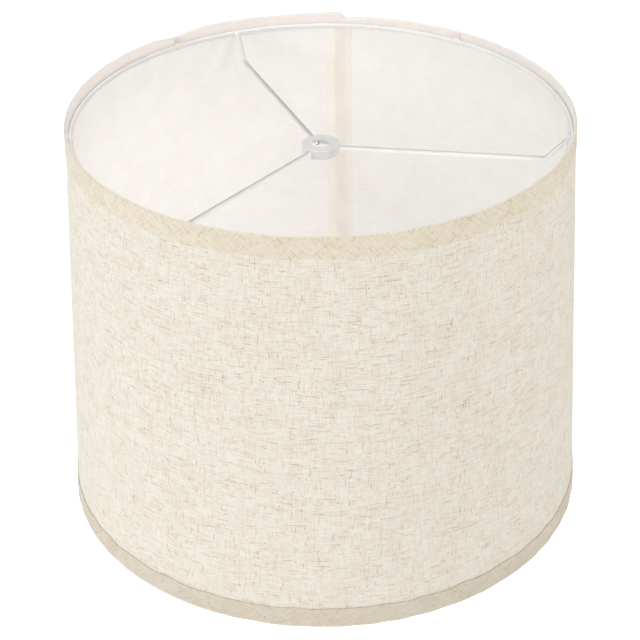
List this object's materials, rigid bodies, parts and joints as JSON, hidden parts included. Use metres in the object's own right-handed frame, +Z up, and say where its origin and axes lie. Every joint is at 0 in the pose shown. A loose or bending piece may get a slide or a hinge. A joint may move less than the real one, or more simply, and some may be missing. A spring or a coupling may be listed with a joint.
{
  "type": "drum lamp shade",
  "caption": "Gently tapered hardback drum lamp shade in slubbed linen, with folded bias trim, wire rings and a recessed three-arm spider with a drilled centre hub.",
  "frame": {"origin": "centre of the bottom mouth, on the surface that the shade stands on", "axes": "+Z up along the shade's axis, -Y the front, +Y the back where the panel's seam is"},
  "size_m": [0.3301, 0.3302, 0.26],
  "materials": {
    "linen": "natural slubbed linen, matt, off-white with tan and brown threads",
    "trim_linen": "the same linen cut on the bias, matt",
    "liner_plastic": "white translucent styrene sheet, satin",
    "adhesive_tape": "clear double-sided tape, slightly yellow",
    "white_wire": "white powder coat, semi-gloss",
    "clip_plastic": "milky translucent plastic"
  },
  "bodies": {
    "root": {"liner": "liner_plastic", "linen_cover": "linen", "seam_tape": "adhesive_tape", "top_trim_right": "trim_linen", "top_trim_left": "trim_linen", "bottom_trim": "trim_linen", "top_ring": "white_wire", "bottom_ring": "white_wire", "hub": "white_wire", "spider_arm_1": "white_wire", "spider_arm_2": "white_wire", "spider_arm_3": "white_wire", "ring_clip_1": "clip_plastic", "ring_clip_2": "clip_plastic", "ring_clip_3": "clip_plastic", "ring_clip_4": "clip_plastic", "ring_clip_5": "clip_plastic"}
  },
  "joints": []
}
